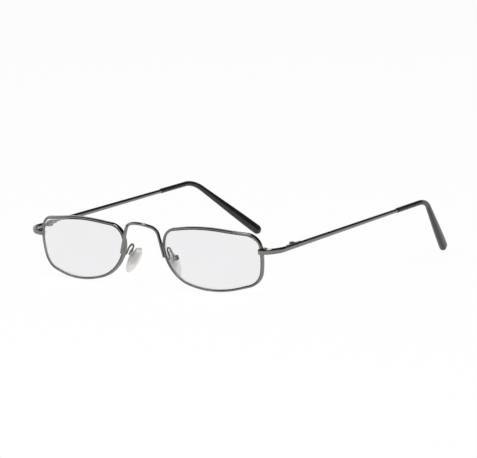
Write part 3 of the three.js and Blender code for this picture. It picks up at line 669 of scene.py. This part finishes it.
def front_hinge_leaf():
    """A plate on the end piece with two knuckles, and the lugs that carry them."""
    half = LEAF_HEIGHT / 2
    return [
        block((LEAF_BACK, -LEAF_LENGTH, -half), (LEAF_FACE, -KNUCKLE_REACH, half)),
        block((LEAF_BACK, -LUG_REACH, UPPER_FLOOR), (LEAF_FACE, -BUTT_GAP, half)),
        block((LEAF_BACK, -LUG_REACH, -half), (LEAF_FACE, -BUTT_GAP, -UPPER_FLOOR)),
        moved(barrel(KNUCKLE_RADIUS, UPPER_FLOOR, UPPER_TOP), on_pin),
        moved(barrel(KNUCKLE_RADIUS, -UPPER_TOP, -UPPER_FLOOR), on_pin),
    ]


def temple_hinge_leaf():
    """A plate on the temple with one knuckle, and the lug that carries it."""
    half = LEAF_HEIGHT / 2
    return [
        block((LEAF_BACK, KNUCKLE_REACH, -half), (LEAF_FACE, LEAF_LENGTH, half)),
        block((LEAF_BACK, BUTT_GAP, -MIDDLE_TOP), (LEAF_FACE, LUG_REACH, MIDDLE_TOP)),
        moved(barrel(KNUCKLE_RADIUS, -MIDDLE_TOP, MIDDLE_TOP), on_pin),
    ]


def hinge_pin():
    """The slotted screw through all the knuckles."""
    at = (np.eye(3), np.array((-PIN_INSET, 0, UPPER_TOP + SEAT_GAP)))
    length = 2 * UPPER_TOP + PIN_HEAD_HEIGHT / 2
    return slotted_screw(at, PIN_RADIUS, length, PIN_HEAD_RADIUS, PIN_HEAD_HEIGHT)


# Temple and tip share one route: straight back, round the bend, down and inwards

temple_corner = np.array((0, TEMPLE_STRAIGHT, 0))
drop, inward = np.radians((TIP_DROP, TIP_INWARD))
tip_way = (-np.sin(inward), np.cos(inward) * np.cos(drop), -np.cos(inward) * np.sin(drop))
tip_leg = TIP_LENGTH * np.array(tip_way)
temple_route = route_of(rounded_line(
    ((0, BUTT_GAP / 2, 0), temple_corner, temple_corner + tip_leg), (0, TEMPLE_BEND, 0), False))
bend_turn = np.arccos(tip_leg[1] / TIP_LENGTH)
bend_start = TEMPLE_STRAIGHT - TEMPLE_BEND * np.tan(bend_turn / 2)
tip_start = bend_start - TIP_SLEEVE
route_end = temple_route[0][-1]
core_end = route_end - CORE_SHORT


def temple_wire():
    """A rounded bar that tapers to a square, then steps down to the round core inside the tip."""
    shank = stations(0, tip_start, TEMPLE_STEPS, END_EASE)
    share = shank / tip_start
    inset = 2 * drawn_in(shank, 0, tip_start, END_EASE)
    width = TEMPLE_WIDTH + (TEMPLE_END - TEMPLE_WIDTH) * share - inset
    height = TEMPLE_HEIGHT + (TEMPLE_END - TEMPLE_HEIGHT) * share - inset
    core = stations(tip_start, core_end, CORE_STEPS, END_EASE)
    core_size = CORE_DIAMETER - 2 * drawn_in(core, tip_start - CORE_DIAMETER, core_end, END_EASE)
    section = np.concatenate((
        bar_section(width, height, TEMPLE_EDGE, TEMPLE_ROUNDING),
        bar_section(core_size, core_size, CORE_DIAMETER),
    ))
    return shell(carry(temple_route, np.concatenate((shank, core)), section, X))


def tip_sleeve():
    """A round sleeve that swells to an oval paddle and closes in a dome, whose size is the root of one less
    the square of the share of the way to its end. It is hollow for the temple's core."""
    mouth = tip_start + SEAT_GAP
    dome_start = route_end - TIP_DOME
    close = np.sin(np.linspace(0, np.pi / 2, DOME_STEPS)[1:-1])
    outside = np.concatenate((
        mouth + TIP_LIP * (1 - np.cos(np.linspace(0, np.pi / 2, EASE_STEPS))),
        np.linspace(mouth + TIP_LIP, dome_start, TIP_STEPS)[1:],
        dome_start + TIP_DOME * close,
        (route_end - TIP_POINT,),
    ))
    swell = smooth(outside, bend_start, dome_start)
    into = np.clip((outside - dome_start) / TIP_DOME, 0, 1)
    size = np.sqrt(1 - into ** 2)
    lip = 2 * drawn_in(outside, mouth, route_end + TIP_LIP, TIP_LIP)
    width = (TIP_MOUTH + (TIP_PADDLE_WIDTH - TIP_MOUTH) * swell) * size - lip
    height = (TIP_MOUTH + (TIP_PADDLE_HEIGHT - TIP_MOUTH) * swell) * size - lip
    inside = np.linspace(core_end + TIP_BORE_GAP, mouth, CORE_STEPS)
    bore = np.full(len(inside), CORE_DIAMETER + 2 * TIP_BORE_GAP)
    section = np.concatenate((bar_section(bore, bore, bore / 2), bar_section(width, height, width / 2)))
    return shell(carry(temple_route, np.concatenate((inside, outside)), section, X))


# Nose pad, in its own frame: x away from the nose, y back along the pad screw, z up along the pad

pad_foot = rim_at(outline, PAD_ARM_RISE, False)
pad_turn = turned("Z", -PAD_SPLAY) @ turned("X", -PAD_LEAN) @ turned("Y", -PAD_FRONTAL)
pad_in_front = (pad_turn, pad_foot + (PAD_OUTSET, PAD_SETBACK, -PAD_DROP))
pad = within(front, *pad_in_front)
CUP_HALF = CUP_SIZE / 2
CUP_NASAL = -TAB_RADIUS - CUP_ROOM
PAD_MIDDLE = CUP_NASAL - PAD_CLEARANCE - PAD_THICKNESS / 2
TAB_HALF = CUP_HALF - CUP_WALL - TAB_GAP
along_y = turned("X", 90)


def pad_cushion():
    """A soft oval, wider above than below by its taper. Its half thickness is the root of one less a power
    of the share of the way to its edge. It is fuller on the back than on the crowned side, which lies on
    the nose."""
    share = np.sin(np.radians(np.linspace(PAD_FIRST_RING, 90, PAD_RINGS)))
    turn = np.linspace(0, 2 * np.pi, PAD_SIDES, endpoint=False)
    nose_side = -np.sqrt(1 - share ** PAD_CROWN_POWER)
    back_side = np.sqrt(1 - share ** PAD_BACK_POWER)
    rise = np.concatenate((nose_side, back_side[-2::-1])) * PAD_THICKNESS / 2 + PAD_MIDDLE
    size = np.concatenate((share, share[-2::-1]))[:, None]
    rings = np.stack((
        np.broadcast_to(rise[:, None], (len(rise), len(turn))),
        size * np.cos(turn) * (1 + PAD_TAPER * np.sin(turn)) * PAD_WIDTH / 2,
        size * np.sin(turn) * PAD_LENGTH / 2 - PAD_HANG,
    ), -1)
    return shell(rings)


def pad_plate():
    """The metal plate inside the pad, with the tab and its round end that rocks on the pad screw."""
    half = np.array((PLATE_THICKNESS, PLATE_WIDTH, PLATE_LENGTH)) / 2
    middle = np.array((PAD_MIDDLE, 0, -PAD_HANG / 2))
    return [
        block(middle - half, middle + half),
        block((PAD_MIDDLE, -TAB_HALF, -TAB_RADIUS), (0, TAB_HALF, TAB_RADIUS)),
        moved(barrel(TAB_RADIUS, -TAB_HALF, TAB_HALF), (along_y, np.zeros(3))),
    ]


def pad_cup():
    """Two cheeks beside the tab, joined by a wall on the far side from the pad."""
    inner = CUP_HALF - CUP_WALL
    return [
        block((CUP_NASAL, inner, -CUP_HALF), (CUP_HALF, CUP_HALF, CUP_HALF), CUP_EDGE),
        block((CUP_NASAL, -CUP_HALF, -CUP_HALF), (CUP_HALF, -inner, CUP_HALF), CUP_EDGE),
        block((TAB_RADIUS + CUP_ROOM, -CUP_HALF, -CUP_HALF), (CUP_HALF, CUP_HALF, CUP_HALF), CUP_EDGE),
    ]


def pad_cup_screw():
    """The slotted screw through the cup and the tab."""
    at = (turned("X", -90), np.array((0, CUP_HALF + SEAT_GAP, 0)))
    return slotted_screw(at, PAD_SCREW_RADIUS, CUP_SIZE + SEAT_GAP, PAD_HEAD_RADIUS, PAD_HEAD_HEIGHT)


def pad_wire():
    """A round wire on a smooth line: back from the rim, up and over a loop, and down to the cup's wall."""
    foot = rim_at(outline, ARM_FOOT_RISE, False)
    far = placed(np.array((*ARM_FALLING, (CUP_HALF - ARM_DIAMETER / 2, 0, 0))), pad_in_front)
    line = smooth_line(np.vstack((foot, pad_foot + np.array(ARM_LOOP), far)))
    in_pad = (line - pad_in_front[1]) @ pad_in_front[0]
    outside = (np.abs(in_pad[:, 1:]) > CUP_HALF).any(1)
    route = route_of(line[outside])
    distance = stations(0, route[0][-1], ARM_STEPS, ARM_EASE)
    size = np.full(len(distance), ARM_DIAMETER)
    return shell(carry(route, distance, bar_section(size, size, size), X))


# Finishes

NOISE_LOW = 0.3
NOISE_HIGH = 0.7

# Places of the colours on a mixing node
FIRST_COLOUR_IN = 6
SECOND_COLOUR_IN = 7
COLOUR_OUT = 2

# Tone from dark to light, then roughness from smooth to worn
GUNMETAL = ((0.2, 0.2, 0.188), (0.24, 0.24, 0.226), 0.13, 0.21)
PALE_NICKEL = ((0.7, 0.69, 0.675), (0.78, 0.77, 0.755), 0.3, 0.42)
BRIGHT_STEEL = ((0.56, 0.56, 0.56), (0.64, 0.64, 0.64), 0.3, 0.4)
BLACK_MOULDING = ((0.008, 0.008, 0.009), (0.014, 0.014, 0.015), 0.16, 0.26)
CLEAR_LENS = ((0.857, 0.851, 0.866), (0.867, 0.861, 0.876), 0.0, 0.02)
# The ground edge's dark grey is painted shade for the rim's groove, where the lens's edge sits
GROUND_EDGE_PAINTED_SHADE = ((0.1, 0.1, 0.1), (0.14, 0.14, 0.14), 0.55, 0.7)
CLEAR_PAD = ((0.872, 0.854, 0.838), (0.925, 0.908, 0.893), 0.38, 0.5)


def fill(tree, socket, value):
    """Links a node's input to another node's output, or sets it to a value."""
    if isinstance(value, bpy.types.NodeSocket):
        tree.links.new(value, socket)
    else:
        socket.default_value = value


def add_node(tree, kind, **values):
    """A shader node, with those of its inputs filled that are named."""
    made = tree.nodes.new(kind)
    for key, value in values.items():
        fill(tree, made.inputs[key.replace("_", " ")], value)
    return made


class Finish:
    """A material whose tone, gloss and relief follow noise on the piece."""

    def __init__(self, name):
        self.material = bpy.data.materials.new(name)
        self.material.use_nodes = True
        self.tree = self.material.node_tree
        self.shader = self.tree.nodes["Principled BSDF"]
        self.coords = add_node(self.tree, "ShaderNodeTexCoord")

    def noise(self, vector, scale, detail):
        """Noise on a coordinate."""
        made = add_node(self.tree, "ShaderNodeTexNoise", Vector=vector, Scale=scale, Detail=detail)
        return made.outputs["Fac"]

    def cloud(self, scale, detail):
        """Cloudy noise on the piece's own coordinates, in metres."""
        return self.noise(self.coords.outputs["Object"], scale, detail)

    def drawn_lines(self, stretch, scale, detail):
        """Noise on the surface's map, stretched to fine lines that run along the piece."""
        mapped = add_node(self.tree, "ShaderNodeMapping", Vector=self.coords.outputs["UV"], Scale=stretch)
        return self.noise(mapped.outputs["Vector"], scale, detail)

    def spread(self, noise, low, high):
        """The noise's middle values spread over a range."""
        made = add_node(
            self.tree, "ShaderNodeMapRange", Value=noise,
            From_Min=NOISE_LOW, From_Max=NOISE_HIGH, To_Min=low, To_Max=high)
        return made.outputs["Result"]

    def paint(self, look, tone_noise, gloss_noise):
        """The tone goes from dark to light with one noise, the gloss from smooth to worn with the other."""
        dark, light, smooth_rough, worn_rough = look
        mix = add_node(self.tree, "ShaderNodeMix")
        mix.data_type = "RGBA"
        self.tree.links.new(self.spread(tone_noise, 0.0, 1.0), mix.inputs["Factor"])
        mix.inputs[FIRST_COLOUR_IN].default_value = (*dark, 1)
        mix.inputs[SECOND_COLOUR_IN].default_value = (*light, 1)
        self.tree.links.new(mix.outputs[COLOUR_OUT], self.shader.inputs["Base Color"])
        gloss = self.spread(gloss_noise, smooth_rough, worn_rough)
        self.tree.links.new(gloss, self.shader.inputs["Roughness"])

    def relieve(self, noise, strength, depth):
        """Fine relief that follows the noise, its depth in millimetres."""
        bump = add_node(self.tree, "ShaderNodeBump", Height=noise, Strength=strength, Distance=depth * MM)
        self.tree.links.new(bump.outputs["Normal"], self.shader.inputs["Normal"])

    def keep_even(self, **values):
        """Values that are the same all over the surface."""
        for key, value in values.items():
            self.shader.inputs[key.replace("_", " ")].default_value = value


def metal_finish(name, look):
    """Polished metal: cloudy tone, and fine drawing lines along the wire in gloss and relief."""
    finish = Finish(name)
    lines = finish.drawn_lines(stretch=(1.5, 90.0, 1.0), scale=4.0, detail=4.0)
    finish.paint(look, finish.cloud(scale=420.0, detail=3.0), lines)
    finish.relieve(lines, strength=0.25, depth=0.004)
    finish.keep_even(Metallic=1)
    return finish.material


def tip_finish():
    """Glossy black plastic with a slightly uneven moulded skin and faint handling marks in its gloss."""
    finish = Finish("black_moulding")
    swell = finish.cloud(scale=260.0, detail=2.0)
    finish.paint(BLACK_MOULDING, swell, finish.cloud(scale=1400.0, detail=5.0))
    finish.relieve(swell, strength=0.2, depth=0.03)
    finish.keep_even(IOR=1.5)
    return finish.material


def lens_finish():
    """Clear lens, a little grey, with a faint uneven film of use in its gloss."""
    finish = Finish("clear_lens")
    film = finish.cloud(scale=90.0, detail=4.0)
    finish.paint(CLEAR_LENS, film, film)
    finish.keep_even(Transmission_Weight=1, IOR=1.5)
    return finish.material


def lens_edge_shade_finish():
    """The lens's ground edge: matt dark grey with the fine grain that the wheel leaves. Its dark tone is
    painted shade, standing in for the shade in the rim's groove where the edge sits.
    """
    finish = Finish("ground_edge_painted_shade")
    grain = finish.cloud(scale=3000.0, detail=3.0)
    finish.paint(GROUND_EDGE_PAINTED_SHADE, grain, grain)
    return finish.material


def pad_finish():
    """Soft clear moulding, cloudy inside, with a satin skin."""
    finish = Finish("clear_soft_pad")
    grain = finish.cloud(scale=5000.0, detail=2.0)
    finish.paint(CLEAR_PAD, finish.cloud(scale=500.0, detail=3.0), grain)
    finish.relieve(grain, strength=0.15, depth=0.01)
    finish.keep_even(Transmission_Weight=0.85, IOR=1.41)
    return finish.material


# Each finish with a slot's name. The lens's edge is a second finish on the lens.
gunmetal = (metal_finish("gunmetal_plate", GUNMETAL), "gunmetal")
pale_nickel = (metal_finish("pale_nickel", PALE_NICKEL), "screw")
screw_steel = (metal_finish("bright_steel", BRIGHT_STEEL), "screw")
black_tip = (tip_finish(), "tip")
clear_lens = (lens_finish(), "lens")
# The lens's ground edge: its dark tone is painted shade for the rim's groove
ground_edge_painted_shade = lens_edge_shade_finish()
soft_pad = (pad_finish(), "pad")


# Pieces

def add_piece(name, parts, node, body, finish, sharp):
    """One object at the origin from shells in millimetres, smooth but for edges sharper than an angle."""
    material, slot = finish
    starts = np.cumsum([0] + [len(points) for points, _, _ in parts[:-1]])
    points = np.concatenate([points for points, _, _ in parts]) * MM
    faces = np.concatenate([faces + start for (_, faces, _), start in zip(parts, starts)])
    surface = np.concatenate([surface for _, _, surface in parts])
    mesh = bpy.data.meshes.new(name)
    mesh.from_pydata(points.tolist(), [], faces.tolist())
    mesh.uv_layers.new(name="surface").data.foreach_set("uv", surface.astype(np.float32).ravel())
    mesh.shade_smooth()
    mesh.set_sharp_from_angle(angle=np.radians(sharp))
    mesh.materials.append(material)
    piece = bpy.data.objects.new(name, mesh)
    bpy.context.scene.collection.objects.link(piece)
    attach(piece, body)
    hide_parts(node)
    return piece


def mirrored(part):
    """A shell on the other side: X changes sign, and the faces run the other way round."""
    points, faces, surface = part
    return points * (-1, 1, 1), faces[:, ::-1], surface[:, ::-1]


def add_pair(label, node, parts, at, body, finish, sharp=WORKED_CREASE):
    """The same piece on both sides. A body named for a side takes the side's name."""
    parts = parts if isinstance(parts, list) else [parts]
    left = [moved(part, at) for part in parts]
    right = [mirrored(part) for part in left]
    return [
        add_piece(f"{side}_{label}", shells, f"{side}_{node}", body.format(side), finish, sharp)
        for side, shells in (("left", left), ("right", right))
    ]


FRONT_BODY = "front"
TEMPLE_BODY = "{}_temple_arm"
PAD_BODY = "{}_nose_pad"

add_piece("bridge_wire", [moved(bridge_wire(), front)], "bridge", FRONT_BODY, gunmetal, WIRE_CREASE)
add_pair("eyewire", "rim", eyewire(), eye, FRONT_BODY, gunmetal)
lenses = add_pair("lens_glass", "lens", lens_glass(), eye, FRONT_BODY, clear_lens, LENS_CREASE)
add_pair("end_bar", "end_piece", end_bar(), front, FRONT_BODY, gunmetal, WIRE_CREASE)
add_pair("closing_block_upper", "rim_lock_upper", closing_block(1), front, FRONT_BODY, gunmetal)
add_pair("closing_block_lower", "rim_lock_lower", closing_block(-1), front, FRONT_BODY, gunmetal)
add_pair("closing_screw", "rim_lock_screw", closing_screw(), front, FRONT_BODY, screw_steel)
add_pair("pad_wire", "pad_arm", pad_wire(), front, FRONT_BODY, gunmetal, WIRE_CREASE)
add_pair("pad_cup", "pad_box", pad_cup(), pad, FRONT_BODY, gunmetal)
add_pair("pad_cup_screw", "pad_screw", pad_cup_screw(), pad, FRONT_BODY, screw_steel)
add_pair("pad_plate", "pad_insert", pad_plate(), pad, PAD_BODY, pale_nickel)
cushions = add_pair("pad_cushion", "pad", pad_cushion(), pad, PAD_BODY, soft_pad, SOFT_CREASE)
add_pair("front_hinge_leaf", "hinge_front_leaf", front_hinge_leaf(), hinge, FRONT_BODY, gunmetal)
add_pair("temple_hinge_leaf", "hinge_temple_leaf", temple_hinge_leaf(), hinge, TEMPLE_BODY, gunmetal)
add_pair("hinge_pin", "hinge_screw", hinge_pin(), hinge, FRONT_BODY, screw_steel)
add_pair("temple_wire", "temple", temple_wire(), hinge, TEMPLE_BODY, gunmetal, WIRE_CREASE)
add_pair("tip_sleeve", "temple_tip", tip_sleeve(), hinge, TEMPLE_BODY, black_tip, SOFT_CREASE)
# The lens's bevel takes the ground edge's finish, whose dark tone is painted shade
for glass in lenses:
    glass.visible_shadow = False
    glass.data.materials.append(ground_edge_painted_shade)
    glass.data.polygons.foreach_set("material_index", lens_edge_faces())


# Floor, sky and lamps

WHITE = (1, 1, 1, 1)
SKY_LIGHT = 0.55

# The floor, in metres: its paint, the share of it that isn't paint, and how bright that share is mirrored
FLOOR_SIZE = 3.0
FLOOR_DROP = 0.0002
FLOOR_PAINT = (0.98, 0.98, 0.98, 1)
FLOOR_WHITE_SHARE = 0.92
FLOOR_GLOW = 0.95

# Dark ceiling that polished metal mirrors: it leans down towards the camera
CEILING_LEAN = 30
CEILING_AZIMUTH = 50
CEILING_EDGE = (-0.04, 0.2)
CEILING_DARK = 0.04


def add_math(tree, operation, first, second):
    """The result of an operation on two values."""
    made = tree.nodes.new("ShaderNodeMath")
    made.operation = operation
    fill(tree, made.inputs[0], first)
    fill(tree, made.inputs[1], second)
    return made.outputs[0]


def mix_shaders(tree, share, first, second):
    """Two shaders mixed, by the share of the second."""
    mix = add_node(tree, "ShaderNodeMixShader", Fac=share)
    tree.links.new(first.outputs[0], mix.inputs[1])
    tree.links.new(second.outputs[0], mix.inputs[2])
    return mix


def seen_by(tree, *kinds):
    """1 for rays of the given kinds, else 0."""
    path = add_node(tree, "ShaderNodeLightPath")
    found = path.outputs[kinds[0]]
    for kind in kinds[1:]:
        found = add_math(tree, "MAXIMUM", found, path.outputs[kind])
    return found


def add_floor():
    """A pale floor whose share of plain paint keeps the shadow. For the rest it is about as white as the
    sky: what mirrors it finds a glow, and the camera looks through, so that a folded tip is seen to its
    end."""
    material = bpy.data.materials.new("pale_floor")
    material.use_nodes = True
    tree = material.node_tree
    tree.nodes.clear()
    paint = add_node(tree, "ShaderNodeBsdfDiffuse", Color=FLOOR_PAINT)
    glow = add_node(tree, "ShaderNodeEmission", Color=WHITE, Strength=FLOOR_GLOW)
    clear = add_node(tree, "ShaderNodeBsdfTransparent")
    surface = paint
    for white, kinds in ((glow, ("Is Glossy Ray",)), (clear, ("Is Camera Ray", "Is Transmission Ray"))):
        share = add_math(tree, "MULTIPLY", seen_by(tree, *kinds), FLOOR_WHITE_SHARE)
        surface = mix_shaders(tree, share, surface, white)
    add_node(tree, "ShaderNodeOutputMaterial", Surface=surface.outputs[0])
    half = FLOOR_SIZE / 2
    corners = [(x, y, -FLOOR_DROP) for x, y in ((-half, -half), (half, -half), (half, half), (-half, half))]
    mesh = bpy.data.meshes.new("floor")
    mesh.from_pydata(corners, [], [(0, 1, 2, 3)])
    mesh.materials.append(material)
    floor = bpy.data.objects.new("floor", mesh)
    bpy.context.scene.collection.objects.link(floor)


def add_sky():
    """An even soft light. Rays that see it find white, and what mirrors it finds a dark ceiling overhead."""
    world = bpy.data.worlds.new("studio")
    bpy.context.scene.world = world
    world.use_nodes = True
    tree = world.node_tree
    tree.nodes.clear()
    coords = add_node(tree, "ShaderNodeTexCoord")
    lean, azimuth = np.radians((CEILING_LEAN, CEILING_AZIMUTH))
    way_up = (np.sin(lean) * np.sin(azimuth), -np.sin(lean) * np.cos(azimuth), np.cos(lean))
    height = tree.nodes.new("ShaderNodeVectorMath")
    height.operation = "DOT_PRODUCT"
    fill(tree, height.inputs[0], coords.outputs["Generated"])
    fill(tree, height.inputs[1], way_up)
    ceiling = add_node(
        tree, "ShaderNodeMapRange", Value=height.outputs["Value"],
        From_Min=CEILING_EDGE[0], From_Max=CEILING_EDGE[1], To_Min=1, To_Max=CEILING_DARK)
    ceiling.interpolation_type = "SMOOTHSTEP"
    plain = add_math(
        tree, "MAXIMUM", ceiling.outputs[0], seen_by(tree, "Is Camera Ray", "Is Transmission Ray"))
    seen = add_node(tree, "ShaderNodeBackground", Color=WHITE, Strength=plain)
    soft = add_node(tree, "ShaderNodeBackground", Color=WHITE, Strength=SKY_LIGHT)
    direct = seen_by(tree, "Is Camera Ray", "Is Glossy Ray", "Is Transmission Ray")
    surface = mix_shaders(tree, direct, soft, seen)
    add_node(tree, "ShaderNodeOutputWorld", Surface=surface.outputs[0])


def look_frame(azimuth, elevation, roll):
    """Right, up and back directions of something that looks at the object from an angle."""
    a, e, r = np.radians((azimuth, elevation, roll))
    back = np.array((np.sin(a) * np.cos(e), -np.cos(a) * np.cos(e), np.sin(e)))
    level = np.array((np.cos(a), np.sin(a), 0))
    up = np.cross(back, level)
    return np.column_stack((level * np.cos(r) + up * np.sin(r), up * np.cos(r) - level * np.sin(r), back))


def set_down(thing, turn, place):
    """Gives a lamp or camera its place, in metres."""
    matrix = np.eye(4)
    matrix[:3, :3] = turn
    matrix[:3, 3] = place
    thing.matrix_world = Matrix(matrix.tolist())
    bpy.context.scene.collection.objects.link(thing)


def add_lamp(name, azimuth, elevation, distance, size, power, glint):
    """A square soft lamp that faces the object, its distance and size in metres. Only some lamps show as
    a glint in polished metal."""
    lamp = bpy.data.lights.new(name, "AREA")
    lamp.size = size
    lamp.energy = power
    turn = look_frame(azimuth, elevation, 0)
    holder = bpy.data.objects.new(name, lamp)
    holder.visible_glossy = glint
    set_down(holder, turn, turn[:, 2] * distance)


def add_camera():
    """The camera at the photograph's angle."""
    camera = bpy.data.cameras.new("camera")
    camera.lens = CAMERA_LENS
    camera.sensor_width = CAMERA_SENSOR
    camera.clip_start = CAMERA_NEAREST * MM
    camera.clip_end = CAMERA_FURTHEST * MM
    turn = look_frame(CAMERA_AZIMUTH, CAMERA_ELEVATION, CAMERA_ROLL)
    place = (np.array(CAMERA_TARGET) + turn[:, 2] * CAMERA_DISTANCE) * MM
    holder = bpy.data.objects.new("camera", camera)
    set_down(holder, turn, place)
    bpy.context.scene.camera = holder


add_floor()
add_sky()
add_lamp("key_lamp", azimuth=12, elevation=49, distance=1.0, size=0.36, power=3.2, glint=True)
add_lamp("side_lamp", azimuth=115, elevation=62, distance=1.0, size=0.5, power=0.8, glint=False)
add_lamp("back_lamp", azimuth=215, elevation=50, distance=1.1, size=0.6, power=0.8, glint=False)
add_camera()
bpy.context.scene.view_settings.view_transform = "Standard"
